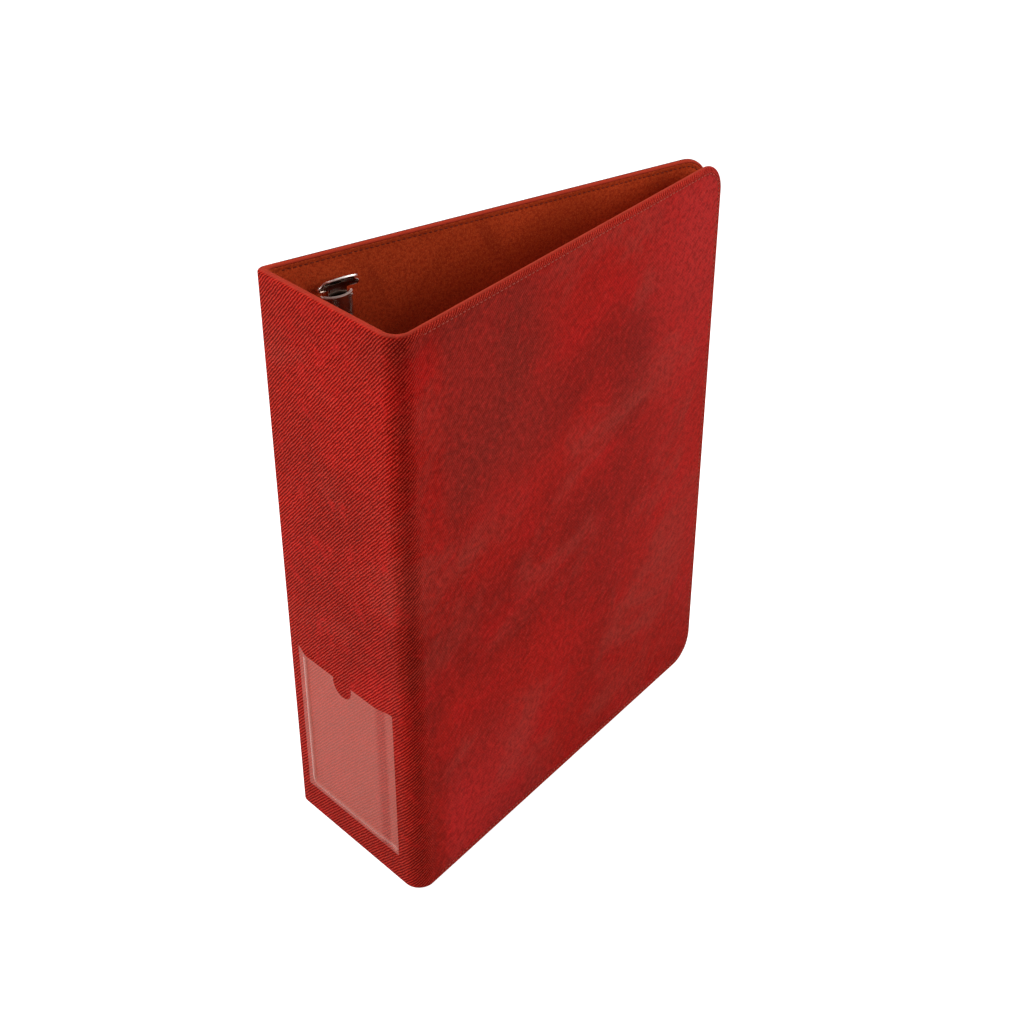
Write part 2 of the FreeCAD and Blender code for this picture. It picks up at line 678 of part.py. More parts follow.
def build_levers():
    low, high = pin_heights()
    return [build_lever("lever_bottom", (low, -1)), build_lever("lever_top", (high, 1))]


# ---------------------------------------------------------------- build, check and write

def check(parts):
    """Stops with a message if any object failed or any sub-part's shape is unusable."""
    doc.recompute()
    for obj in doc.Objects:
        bad = [state for state in obj.State if state in ("Invalid", "Error")]
        if bad:
            raise RuntimeError("%s is %s" % (obj.Name, bad))
    for part in parts:
        if part.Shape.isNull() or not part.Shape.isValid() or not part.Shape.Solids:
            raise RuntimeError("%s has no valid solid" % part.Label)


def main():
    fill_sheet()
    parts = build_covers() + build_spine() + build_bends()
    parts.append(build_label_pocket())
    parts += [build_shell(), build_lever_pins(), build_rivets()]
    parts += build_rings() + build_levers()
    check(parts)
    os.makedirs("parts", exist_ok=True)
    for part in parts:
        part.Shape.exportStep("parts/%s.step" % part.Label)
        print("%-22s %d solid(s) %10.2f mm3" % (part.Label, len(part.Shape.Solids),
                                                 part.Shape.Volume))


main()
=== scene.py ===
"""Trading card binder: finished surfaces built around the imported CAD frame, in metres with +Z up."""
import math
import random

import bpy
import numpy as np
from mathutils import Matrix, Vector


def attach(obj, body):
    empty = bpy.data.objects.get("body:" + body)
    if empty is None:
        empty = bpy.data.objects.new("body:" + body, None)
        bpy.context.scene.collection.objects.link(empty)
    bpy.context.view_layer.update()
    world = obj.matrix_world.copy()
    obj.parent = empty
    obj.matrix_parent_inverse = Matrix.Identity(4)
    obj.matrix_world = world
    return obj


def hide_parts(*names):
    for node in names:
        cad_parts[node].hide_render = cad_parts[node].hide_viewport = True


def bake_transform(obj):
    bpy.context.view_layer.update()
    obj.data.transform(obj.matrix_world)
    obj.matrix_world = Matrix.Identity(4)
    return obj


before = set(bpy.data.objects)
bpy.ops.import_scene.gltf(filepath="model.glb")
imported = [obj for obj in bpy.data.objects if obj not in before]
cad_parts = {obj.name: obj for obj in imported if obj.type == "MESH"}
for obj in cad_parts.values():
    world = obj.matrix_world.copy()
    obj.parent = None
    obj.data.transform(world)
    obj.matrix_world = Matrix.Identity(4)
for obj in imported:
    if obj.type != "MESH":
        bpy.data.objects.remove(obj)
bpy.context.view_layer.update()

# Sizes in millimetres, the same as the CAD part's
MM = 0.001
HEIGHT = 320.0
SPINE = 100.2
DEPTH = 257.5
LEAN = math.radians(9.79)
TURN = math.pi / 2 + LEAN
TANGENT = math.tan(TURN / 2)
CORNER = 16.5
THICK = 3.4
FRONT, BACK = 1, -1
BEND = {FRONT: (9.5, 0.0), BACK: (2.6, 1.12)}  # outer radius, and its growth per mm of depth
COVER = {FRONT: "front_cover", BACK: "back_cover"}
SIDE_NAME = {FRONT: "front", BACK: "back"}
STITCH_INSET = 3.3
STITCH_PITCH = 2.9
GROOVE = 0.24
GROOVE_START = {FRONT: 3.0, BACK: 2.0}  # past the end of the bend
STITCH_START = {FRONT: 6.0, BACK: 4.0}
POCKET_LEFT, POCKET_LOW = -41.5, 17.5
POCKET_WIDE, POCKET_MOUTH = 76.0, 107.7
NOTCH_AT, NOTCH_RADIUS, NOTCH_DEEP = 36.0, 7.5, 9.3
# The film's upper edge rises at its two ends: height, and where the rise starts and stops
LEFT_RISE, RIGHT_RISE = (3.9, 0.2, 6.2), (2.9, 60.0, 76.0)
BEAD_LEFT, BEAD_LOW = 5.4, 4.6  # the pocket's raised border, from the film's left and lower edges
FILM_FLAT = 70.4  # the film lies down on the skin again at this distance from its left edge
FILM_THICK = 0.25
SHELL_HALF = 139.0  # half the ring shell's length
RIVET_FROM_MIDDLE = 117.5
EDGE_OUT = 0.3  # the turned skin stands this far past the board's outline
RIB_PITCH, RIB_BEAD = 1.39, 1.25  # between ribs, and between the beads along a rib
RIB_ANGLE = math.radians(47)


# ---------------------------------------------------------------- shader helper

class Shader:
    """Short calls that add nodes to a new material, or to a given node tree."""

    def __init__(self, name, tree=None):
        if tree is None:
            self.material = bpy.data.materials.new(name)
            self.material.use_nodes = True
            tree = self.material.node_tree
            tree.nodes.clear()
        self.tree = tree

    def add(self, kind, inputs=None, **settings):
        node = self.tree.nodes.new(kind)
        for key, value in settings.items():
            setattr(node, key, value)
        for key, value in (inputs or {}).items():
            self.put(node.inputs[key], value)
        return node

    def put(self, socket, value):
        if isinstance(value, bpy.types.NodeSocket):
            self.tree.links.new(value, socket)
        elif isinstance(value, tuple) and len(value) == 3 and socket.type == "RGBA":
            socket.default_value = (*value, 1.0)
        else:
            socket.default_value = value

    def math(self, operation, a, b=0.0, c=0.0):
        node = self.add("ShaderNodeMath", operation=operation)
        for socket, value in zip(node.inputs, (a, b, c)):
            self.put(socket, value)
        return node.outputs[0]

    def mix(self, factor, a, b):
        node = self.add("ShaderNodeMix", data_type="RGBA")
        self.put(node.inputs[0], factor)
        self.put(node.inputs[6], a)
        self.put(node.inputs[7], b)
        return node.outputs[2]

    def step(self, value, low, high, out_low=0.0, out_high=1.0):
        """Smooth step of value from low to high."""
        node = self.add("ShaderNodeMapRange", interpolation_type="SMOOTHSTEP")
        for socket, setting in zip(node.inputs, (value, low, high, out_low, out_high)):
            self.put(socket, setting)
        return node.outputs[0]

    def noise(self, vector, scale, detail=3.0, roughness=0.5, distortion=0.0):
        node = self.add("ShaderNodeTexNoise", {"Vector": vector, "Scale": scale, "Detail": detail,
                                               "Roughness": roughness, "Distortion": distortion})
        return node.outputs["Fac"]

    def stretch(self, vector, x, y, turn=0.0):
        """Coordinates turned first and scaled after that, so that a pattern's streaks lie at the turn."""
        node = self.add("ShaderNodeMapping", {"Vector": vector, "Scale": (1 / x, 1 / y, 1.0),
                                              "Rotation": (0.0, 0.0, turn)}, vector_type="TEXTURE")
        return node.outputs[0]

    def times(self, a, b):
        return self.math("MULTIPLY", a, b)

    def scaled(self, value, factor, offset):
        return self.math("MULTIPLY_ADD", value, factor, offset)

    def bump(self, height, distance, strength=1.0):
        inputs = {"Height": height, "Distance": distance, "Strength": strength}
        return self.add("ShaderNodeBump", inputs).outputs[0]

    def finish(self, surface):
        output = self.add("ShaderNodeOutputMaterial")
        self.tree.links.new(surface, output.inputs["Surface"])
        return self.material

    def principled(self, **inputs):
        named = {key.replace("_", " "): value for key, value in inputs.items()}
        return self.add("ShaderNodeBsdfPrincipled", named).outputs[0]


def srgb(red, green, blue):
    """Linear colour of an 8-bit one."""
    def linear(value):
        value /= 255
        return value / 12.92 if value <= 0.04045 else ((value + 0.055) / 1.055) ** 2.4
    return tuple(linear(v) for v in (red, green, blue))


# ---------------------------------------------------------------- materials

# Tones of the outer skin: its two grounds, then what lies over them, painted shade and painted highlights
# among them
GROUND_DEEP, GROUND_LIT = srgb(144, 17, 8), srgb(176, 20, 12)
SMEAR_RED, SMEAR_DARK = srgb(190, 14, 15), srgb(116, 14, 4)
DUST, DULL, PALE_AND_SHEEN, VEIN = srgb(164, 54, 44), srgb(104, 24, 14), srgb(204, 58, 60), srgb(190, 18, 20)
MOTTLE_DARK, MOTTLE_LIT, GRAIN_LIT = srgb(92, 4, 0), srgb(210, 44, 36), srgb(216, 52, 38)
# painted shade in the rib valleys, a painted highlight on the rib crests, and a lighter painted tone on
# the padded strip
VALLEY_SHADE, CREST_HIGHLIGHT, STRIP_HIGHLIGHT = srgb(88, 0, 0), srgb(228, 74, 54), srgb(206, 52, 36)
# a painted highlight on the turned edge's crest, and painted shade on the back cover's outer rim
SMOOTH_BAND, TURNED_EDGE_HIGHLIGHT, SHADED_RIM = srgb(148, 58, 44), srgb(168, 54, 34), srgb(70, 8, 5)
MILKY = srgb(206, 124, 110)


def ribs(sh, uv, along, up):
    """Slanting ribs with beads along them: height across a rib, and along it."""
    cos, sin = math.cos(RIB_ANGLE) / MM, math.sin(RIB_ANGLE) / MM
    wander = sh.times(sh.noise(uv, 230.0, 3.0, 0.6), 0.95)
    across = sh.math("SUBTRACT", sh.times(up, cos / RIB_PITCH), sh.times(along, sin / RIB_PITCH))
    wave = sh.math("COSINE", sh.times(sh.math("ADD", across, wander), 2 * math.pi))
    run = sh.math("ADD", sh.times(up, sin / RIB_BEAD), sh.times(along, cos / RIB_BEAD))
    run = sh.math("ADD", run, sh.times(sh.noise(uv, 520.0, 2.0), 2.2))
    bead = sh.scaled(sh.math("COSINE", sh.times(run, 2 * math.pi)), 0.5, 0.5)
    return sh.scaled(wave, -0.5, 0.5), bead


def clouds(sh, uv, along, up):
    """Marbling, with a painted sheen near the front cover's upper fore corner: the skin's colour before
    its grain and ribs.
    """
    broad = sh.noise(sh.stretch(uv, 0.7, 1.0, 0.5), 14.0, 4.0, 0.55, 0.7)
    smear = sh.noise(sh.stretch(uv, 0.6, 1.1, 0.45), 30.0, 6.0, 0.62, 0.6)
    dust = sh.step(sh.noise(sh.stretch(uv, 0.7, 1.3, 0.4), 16.0, 5.0, 0.62, 0.6), 0.48, 0.68)
    # a paler cloud near the front cover's upper fore corner is a painted sheen; another paler cloud lies
    # near its lower inner corner, and a dull one near its upper inner corner
    sheen_and_pale = sh.times(sh.step(along, 0.200, 0.290), sh.step(up, 0.16, 0.30))
    low = sh.times(sh.step(along, 0.060, 0.075), sh.step(along, 0.170, 0.110))
    sheen_and_pale = sh.scaled(sh.times(low, sh.step(up, 0.100, 0.030)), 0.7, sheen_and_pale)
    dim = sh.times(sh.step(along, 0.066, 0.078), sh.step(along, 0.180, 0.120))
    dim = sh.times(dim, sh.step(up, 0.19, 0.24))
    broad = sh.scaled(sheen_and_pale, 0.16, broad)
    dust = sh.math("MAXIMUM", dust, sh.times(dim, 0.6))
    colour = sh.mix(sh.step(broad, 0.34, 0.64), GROUND_DEEP, GROUND_LIT)
    for share, tone in ((sh.times(sh.step(smear, 0.48, 0.68), 0.7), SMEAR_RED),
                        (sh.times(sh.step(smear, 0.46, 0.28), 0.5), SMEAR_DARK),
                        (sh.times(dust, 0.6), DUST), (sh.times(dim, 0.32), DULL),
                        (sh.times(sheen_and_pale, 0.4), PALE_AND_SHEEN)):
        colour = sh.mix(share, colour, tone)
    return colour


def ribbed_skin():
    """Marbled crimson imitation leather with fine slanting ribs, laid out on the developed case."""
    sh = Shader("ribbed_skin")
    uv = sh.add("ShaderNodeUVMap", uv_map="developed").outputs[0]
    part = sh.add("ShaderNodeSeparateXYZ", {"Vector": uv})
    along, up = part.outputs[0], part.outputs[1]
    rim = sh.add("ShaderNodeAttribute", attribute_name="rim").outputs["Fac"]
    ridge, bead = ribs(sh, uv, along, up)
    # out is 1 on the covers.  The ribs fade into a smooth band under the spine's rim and roll over
    # the covers' edges.  They are pressed flatter on the covers than on the spine, except in the
    # strip between the sewing and the edge, where they stand highest.
    out = sh.step(sh.math("ABSOLUTE", along), 0.046, 0.062)
    present = sh.step(sh.math("SUBTRACT", rim, sh.scaled(out, -0.6, 0.6)), -1.0, 0.5)
    pressed = sh.scaled(sh.times(out, sh.step(rim, 2.6, 4.2)), -0.80, 1.0)
    # the strip between the sewing and the edge; its lighter tone further down is a painted highlight,
    # where the padded strip bulges toward the light
    strip = sh.times(sh.step(rim, 3.4, 2.6), out)
    vein = sh.step(sh.noise(sh.stretch(uv, 0.8, 0.8), 90.0, 4.0, 0.6, 0.5), 0.54, 0.70)
    vein = sh.times(vein, sh.scaled(out, -0.5, 1.0))
    depth = sh.times(sh.times(sh.scaled(vein, -0.5, 1.0), present), pressed)
    depth = sh.times(depth, sh.scaled(strip, 0.30, 1.0))
    # painted shade in the rib valleys, and a painted highlight on the rib crests
    valley_shade = sh.times(sh.step(ridge, 0.52, 0.05), sh.scaled(bead, -0.22, 0.88))
    valley_shade = sh.times(valley_shade, depth)
    crest_highlight = sh.times(sh.step(ridge, 0.45, 1.0), sh.scaled(bead, 0.60, 0.04))
    # painted shade on the outer half of the back cover's rim, darkest between its ribs
    shade = sh.times(sh.step(along, -0.054, -0.062), sh.step(rim, -1.85, -1.35))
    shade = sh.times(sh.times(shade, sh.step(rim, 1.6, 0.6)), sh.scaled(ridge, -0.35, 0.85))
    mottle = sh.noise(sh.stretch(uv, 0.7, 1.0, 0.5), 420.0, 4.0, 0.75)
    grain = sh.noise(uv, 1500.0, 3.0, 0.7)
    haze = label_haze(sh, along, up)
    colour = clouds(sh, uv, along, up)
    # among these tones, painted light: shade in the rib valleys, highlights on the rib crests, on the
    # padded strip and on the turned edge's crest, and shade on the back cover's outer rim
    for share, tone in ((sh.times(vein, 0.5), VEIN),
                        (sh.times(sh.step(mottle, 0.54, 0.38), 0.48), MOTTLE_DARK),
                        (sh.times(sh.step(mottle, 0.52, 0.66), 0.46), MOTTLE_LIT),
                        (sh.times(sh.step(grain, 0.54, 0.68), 0.36), GRAIN_LIT),
                        (valley_shade, VALLEY_SHADE), (sh.times(crest_highlight, depth), CREST_HIGHLIGHT),
                        (sh.times(strip, 0.2), STRIP_HIGHLIGHT), (sh.scaled(present, -0.6, 0.6), SMOOTH_BAND),
                        (sh.step(rim, -0.8, -1.5, 0.0, 0.75), TURNED_EDGE_HIGHLIGHT), (shade, SHADED_RIM),
                        (haze, MILKY)):
        colour = sh.mix(share, colour, tone)
    height = sh.times(sh.times(ridge, sh.scaled(bead, 0.25, 0.75)), depth)
    height = sh.math("ADD", height, sh.times(grain, 0.16))
    height = sh.math("ADD", height, sh.times(mottle, 0.25))
    calm = sh.step(haze, 0.0, 0.2, 1.0, 0.25)  # less relief shows through the film
    normal = sh.bump(sh.times(height, calm), 0.30 * MM)
    rough = sh.scaled(grain, 0.2, 0.46)
    shine = sh.scaled(valley_shade, -0.06, 0.07)
    # the film's gloss is laid on the skin under it, so that the film itself stays clear
    glossy = sh.step(haze, 0.0, 0.2)
    rough = sh.times(rough, sh.scaled(glossy, -0.5, 1.0))
    shine = sh.scaled(glossy, 0.2, shine)
    return sh.finish(sh.principled(Base_Color=colour, Roughness=rough, Normal=normal,
                                   Specular_IOR_Level=shine, Specular_Tint=(1.0, 0.36, 0.24, 1.0)))


def label_haze(sh, along, up):
    """How milky the skin looks through the label pocket's film: 0 outside the film's outline."""
    soft = 0.4 * MM
    left, low, right = POCKET_LEFT * MM, POCKET_LOW * MM, (POCKET_LEFT + POCKET_WIDE) * MM

    def from_left(start, stop):
        return sh.step(along, left + start * MM, left + stop * MM)

    def from_low(start, stop):
        return sh.step(up, low + start * MM, low + stop * MM)

    notch_x = (POCKET_LEFT + NOTCH_AT) * MM
    notch_z = (POCKET_MOUTH - NOTCH_DEEP + NOTCH_RADIUS) * MM
    away = sh.math("POWER", sh.math("SUBTRACT", along, notch_x), 2.0)
    away = sh.math("ADD", away, sh.math("POWER", sh.math("SUBTRACT", up, notch_z), 2.0))
    inside = sh.step(sh.math("SQRT", away), NOTCH_RADIUS * MM - soft, NOTCH_RADIUS * MM)
    mouth = sh.step(along, left + LEFT_RISE[2] * MM, left + LEFT_RISE[1] * MM,
                    POCKET_MOUTH * MM, (POCKET_MOUTH + LEFT_RISE[0]) * MM)
    mouth = sh.math("ADD", mouth, sh.step(along, left + RIGHT_RISE[1] * MM, right, 0.0,
                                          RIGHT_RISE[0] * MM))
    for value, outer, inner in ((along, left, left + soft), (along, right, right - soft),
                                (up, low, low + soft),
                                (sh.math("SUBTRACT", up, mouth), 0.3 * MM, -0.2 * MM)):
        inside = sh.times(inside, sh.step(value, outer, inner))
    # the welded border is a little clearer; the band before the fold at the right is clearer still,
    # painted shade of the film's slope there; the bead at the left and the seam above the lower border
    # are whiter, painted highlights
    slope_shade = sh.times(sh.step(along, right - 15.5 * MM, right - 11.0 * MM),
                    sh.step(along, right - 4.5 * MM, right - 7.5 * MM))
    welded = sh.math("MAXIMUM", from_left(4.8, 4.2), from_low(4.4, 3.8))
    bead = sh.times(sh.times(from_left(4.6, 5.2), from_left(7.4, 6.2)), from_low(3.4, 5.4))
    seam_highlight = sh.times(sh.times(from_low(3.4, 4.6), from_low(7.0, 5.4)), from_left(5.0, 8.0))
    amount = 0.42
    for place, change in ((slope_shade, -0.22), (welded, -0.04), (bead, 0.32), (seam_highlight, 0.16)):
        amount = sh.scaled(place, change, amount)
    return sh.times(inside, amount)


def suede_lining():
    """Rust-coloured microfibre suede with a brushed nap."""
    sh = Shader("suede_lining")
    uv = sh.add("ShaderNodeUVMap", uv_map="developed").outputs[0]
    rim = sh.add("ShaderNodeAttribute", attribute_name="rim").outputs["Fac"]
    fibre = sh.noise(sh.stretch(uv, 1.0, 0.7), 1500.0, 4.0, 0.7)
    speck = sh.noise(uv, 560.0, 3.0, 0.7)
    nap = sh.step(sh.noise(sh.stretch(uv, 1.0, 0.6, 0.6), 26.0, 4.0, 0.6, 0.8), 0.35, 0.68)
    brush = sh.step(sh.noise(sh.stretch(uv, 2.0, 0.5, -0.4), 30.0, 2.0, 0.5), 0.60, 0.72)
    colour = sh.mix(nap, srgb(176, 62, 24), srgb(196, 72, 32))
    # among these tones, the darker margin next to the lining's edge is painted shade
    for share, tone in ((sh.times(brush, 0.45), srgb(146, 46, 18)),
                        (sh.times(sh.step(speck, 0.42, 0.62), 0.6), srgb(140, 32, 6)),
                        (sh.times(sh.step(fibre, 0.5, 0.68), 0.5), srgb(226, 106, 58)),
                        (sh.step(rim, 4.3, 3.2, 0.0, 0.15), srgb(136, 54, 22))):
        colour = sh.mix(share, colour, tone)
    normal = sh.bump(sh.math("ADD", fibre, sh.times(speck, 0.8)), 0.3 * MM, 0.8)
    return sh.finish(sh.principled(Base_Color=colour, Roughness=0.95, Normal=normal,
                                   Specular_IOR_Level=0.1, Sheen_Weight=0.2,
                                   Sheen_Roughness=0.5, Sheen_Tint=srgb(214, 110, 60) + (1.0,)))


def clear_film():
    """Clear film, with a painted highlight in pale pink-white along its bead."""
    sh = Shader("clear_film")
    front = sh.math("SUBTRACT", 1.0, sh.add("ShaderNodeNewGeometry").outputs["Backfacing"])
    # the bead attribute carries the share of the painted highlight
    bead = sh.add("ShaderNodeAttribute", attribute_name="bead").outputs["Fac"]
    clear = sh.add("ShaderNodeBsdfTransparent", {"Color": (0.985, 0.97, 0.97)}).outputs[0]
    highlight_white = sh.principled(Base_Color=(0.95, 0.66, 0.60, 1.0), Roughness=0.25)
    mixed = sh.add("ShaderNodeMixShader", {0: sh.times(bead, front)})
    sh.put(mixed.inputs[1], clear)
    sh.put(mixed.inputs[2], highlight_white)
    return sh.finish(mixed.outputs[0])


def thread(name, light, dark):
    """Twisted sewing thread."""
    sh = Shader(name)
    point = sh.add("ShaderNodeTexCoord").outputs["Object"]
    ply = sh.noise(point, 2400.0, 2.0)
    colour = sh.mix(ply, dark, light)
    return sh.finish(sh.principled(Base_Color=colour, Roughness=0.7, Specular_IOR_Level=0.2,
                                   Normal=sh.bump(ply, 0.1 * MM)))


def plated_steel(name, dark, light, rough=0.2, end_highlight=False):
    """Nickel-plated steel, mottled from dark to light; on request, a painted highlight lightens the
    shell's cut ends.
    """
    sh = Shader(name)
    point = sh.add("ShaderNodeTexCoord").outputs["Object"]
    cloud = sh.noise(point, 60.0, 3.0)
    roughness = sh.scaled(cloud, 0.08, rough)
    colour = sh.mix(cloud, dark, light)
    metal = 1.0
    if end_highlight:
        # painted highlight: the shell's last 0.6 mm at each end is light and less metallic
        height = sh.add("ShaderNodeSeparateXYZ", {"Vector": point}).outputs[2]
        middle = sh.math("ABSOLUTE", sh.math("SUBTRACT", height, HEIGHT / 2 * MM))
        end = sh.step(middle, SHELL_HALF * MM - 0.9 * MM, SHELL_HALF * MM - 0.6 * MM)
        colour = sh.mix(end, colour, (1.0, 0.92, 0.86))
        metal = sh.scaled(end, -0.75, 1.0)
    return sh.finish(sh.principled(Base_Color=colour, Metallic=metal, Roughness=roughness))


def binder_board():
    """Grey-brown pressed board."""
    sh = Shader("binder_board")
    point = sh.add("ShaderNodeTexCoord").outputs["Object"]
    pulp = sh.noise(point, 700.0, 4.0, 0.7)
    colour = sh.mix(pulp, srgb(150, 138, 118), srgb(186, 172, 150))
    return sh.finish(sh.principled(Base_Color=colour, Roughness=0.9,
                                   Normal=sh.bump(pulp, 0.1 * MM)))


SKIN = ribbed_skin()
LINING = suede_lining()
FILM = clear_film()
THREAD_OUT = thread("thread_outside", srgb(206, 98, 82), srgb(142, 50, 40))
THREAD_IN = thread("thread_inside", srgb(124, 38, 16), srgb(80, 20, 8))
STEEL = plated_steel("plated_steel", (0.56, 0.50, 0.45), (0.68, 0.62, 0.57))
SHELL_STEEL = plated_steel("shell_steel", (0.40, 0.33, 0.28), (0.52, 0.45, 0.40),
                           end_highlight=True)
# the lever's steel is painted darker for its dark reflections, its rims nearly white as painted
# highlights
LEVER_STEEL_DARK_REFLECTION = plated_steel("lever_steel_dark_reflection", (0.24, 0.18, 0.15), (0.36, 0.30, 0.26), 0.16)
LEVER_RIM_HIGHLIGHT = plated_steel("lever_rim_highlight", (0.95, 0.88, 0.84), (1.0, 0.95, 0.92), 0.42)
BOARD = binder_board()


# ---------------------------------------------------------------- mesh helpers

def new_piece(name, verts, faces, material):
    """A smooth-shaded mesh object of the scene."""
    mesh = bpy.data.meshes.new(name)
    mesh.from_pydata([tuple(v) for v in verts], [], [[int(i) for i in face] for face in faces])
    mesh.shade_smooth()
    mesh.materials.append(material)
    piece = bpy.data.objects.new(name, mesh)
    bpy.context.scene.collection.objects.link(piece)
    return piece


def point_values(piece, name, values):
    layer = piece.data.attributes.new(name, "FLOAT", "POINT")
    layer.data.foreach_set("value", np.asarray(values, np.float32))


def soften(piece, width):
    """Small rounding on the edges of pressed sheet metal."""
    soft = piece.modifiers.new("soft_edges", "BEVEL")
    soft.width = width * MM
    soft.segments = 2
    soft.angle_limit = math.radians(50)


def smooth(value, low, high):
    """Smooth step of value from low to high, 0 to 1."""
    t = np.clip((np.asarray(value, float) - low) / (high - low), 0, 1)
    return t * t * (3 - 2 * t)


# ---------------------------------------------------------------- the case as one developed sheet

def marks(side):
    """Developed distances from the spine's middle: bend start, bend end, fore edge."""
    radius = BEND[side][0]
    start = SPINE / 2 - radius * TANGENT
    end = start + radius * TURN
    return start, end, end + DEPTH - radius * TANGENT


def case_point(side, s, v, z):
    """Point at developed distance s from the spine's middle and depth v inside the outer face."""
    s, v, z = np.broadcast_arrays(np.asarray(s, float), np.asarray(v, float), np.asarray(z, float))
    outer, growth = BEND[side]
    start, end, edge = marks(side)
    radius = outer + growth * np.clip(v, 0, None)
    foot = radius * TANGENT
    x_spine = s / start * (SPINE / 2 - foot)
    angle = np.clip((s - start) / outer, 0, TURN)
    x_bend = SPINE / 2 - foot + (radius - v) * np.sin(angle)
    y_bend = radius - (radius - v) * np.cos(angle)
    q = foot + (s - end) / (edge - end) * (DEPTH - foot)
    x_cover = SPINE / 2 - q * math.sin(LEAN) - v * math.cos(LEAN)
    y_cover = q * math.cos(LEAN) - v * math.sin(LEAN)
    x = np.where(s < start, x_spine, np.where(s < end, x_bend, x_cover))
    y = np.where(s < start, v, np.where(s < end, y_bend, y_cover))
    return np.stack([side * x, y, z], -1) * MM


def columns(side):
    """Developed distances of the mesh's columns, from the spine's middle to the fore corner."""
    start, end, edge = marks(side)
    parts = (np.linspace(0, start, 12)[:-1], np.linspace(start, end, 15)[:-1],
             np.linspace(end, edge - CORNER, 47))
    return np.concatenate(parts)


ROWS = np.linspace(CORNER, HEIGHT - CORNER, 49)
ARC = np.linspace(0, math.pi / 2, 15)[1:-1]


def ring(side, inset):
    """Loop along the lower edge, the fore edge and the upper edge, inset from the outline."""
    cols = columns(side)
    edge = marks(side)[2]
    radius = CORNER - inset
    low = [(s, inset) for s in cols]
    turn_low = [(edge - CORNER + radius * math.sin(a), CORNER - radius * math.cos(a)) for a in ARC]
    fore = [(edge - inset, z) for z in ROWS]
    turn_high = [(s, HEIGHT - z) for s, z in reversed(turn_low)]
    high = [(s, HEIGHT - z) for s, z in reversed(low)]
    return np.array(low + turn_low + fore + turn_high + high)


def groove_share(side, s):
    """The sewn line's depth: it starts a little past the bend and runs round the cover."""
    start = marks(side)[1] + GROOVE_START[side]
    return smooth(s, start, start + 4.0)


def case_sheet(name, side, profile, material, seen_inside=False):
    """Closed sheet over half of the case.  profile holds (inset, depth, extra depth at the sewing)
    from the middle of the outer face, round the edge, to the middle of the inner face.  The
    material is laid from the outer face, or from the inner face if that is the one seen."""
    cols = columns(side)
    n_cols, n_rows, n_arc = len(cols), len(ROWS), len(ARC)
    verts, uvs, rims, faces = [], [], [], []

    def push(points, flat, rim):
        first = len(verts)
        verts.extend(points)
        uvs.extend(flat)
        rims.extend(rim)
        return first

    def grid(depth):
        s, z = np.meshgrid(cols, ROWS, indexing="ij")
        points = case_point(side, s, depth, z).reshape(-1, 3)
        flat = np.stack([side * s, z], -1).reshape(-1, 2) * MM
        first = push(points, flat, [CORNER] * len(points))
        return first + np.arange(n_cols * n_rows).reshape(n_cols, n_rows)

    def border(ids):
        """The grid's boundary as a ring, with its corner vertices repeated for the arcs."""
        low, fore, high = ids[:, 0], ids[-1, :], ids[::-1, -1]
        return np.concatenate([low, [low[-1]] * n_arc, fore, [high[0]] * n_arc, high])

    def join(a, b):
        for i in range(len(a) - 1):
            quad = [a[i], a[i + 1], b[i + 1], b[i]]
            loop = [v for k, v in enumerate(quad) if v != quad[k - 1]]
            if len(loop) > 2:
                faces.append(loop)

    outer = grid(profile[0][1])
    previous, travelled = border(outer), 0.0
    lines = [previous]
    for (d0, v0, _), (d1, v1, extra) in zip(profile, profile[1:-1]):
        travelled += math.hypot(d1 - d0, v1 - v0)
        loop = ring(side, d1)
        rim = d1 if seen_inside else CORNER - travelled
        laid = ring(side, rim)
        depth = v1 + extra * groove_share(side, loop[:, 0])
        first = push(case_point(side, loop[:, 0], depth, loop[:, 1]),
                     laid * (side * MM, MM), [rim] * len(loop))
        current = first + np.arange(len(loop))
        join(previous, current)
        previous = current
        lines.append(current)
    inner = grid(profile[-1][1])
    join(previous, border(inner))
    lines.append(border(inner))
    for ids, flip in ((outer, False), (inner, True)):
        for i in range(n_cols - 1):
            for j in range(n_rows - 1):
                quad = [ids[i, j], ids[i, j + 1], ids[i + 1, j + 1], ids[i + 1, j]]
                faces.append(quad[::-1] if flip else quad)
    # the cut at the spine's middle
    low = [line[0] for line in lines]
    high = [line[-1] for line in lines]
    cut = low[:1] + list(outer[0, 1:-1]) + high + list(inner[0, 1:-1][::-1]) + low[:0:-1]
    first = push([verts[i] for i in cut], [uvs[i] for i in cut], [rims[i] for i in cut])
    faces.append(list(range(first, first + len(cut))))
    if side == BACK:
        faces = [f[::-1] for f in faces]
    piece = new_piece(name, verts, faces, material)
    piece.data.validate()
    layer = piece.data.uv_layers.new(name="developed")
    at = np.array([loop.vertex_index for loop in piece.data.loops])
    layer.data.foreach_set("uv", np.array(uvs)[at].astype(np.float32).ravel())
    point_values(piece, "rim", rims)
    return piece


def round_edge(reach_out, reach_in, skin, count):
    """(inset, depth, 0) round the case's edge from the outer face to the inner one, skin below
    the outer surface.  reach_out and reach_in are how far in the rounding starts on each face."""
    half = THICK / 2
    points = []
    for k in range(count + 1):
        a = math.pi * k / count
        reach = (reach_out if a < math.pi / 2 else reach_in) + EDGE_OUT
        inset = (skin - EDGE_OUT) + (reach - skin) * (1 - math.sin(a))
        points.append((inset, half - (half - skin) * math.cos(a), 0.0))
    return points


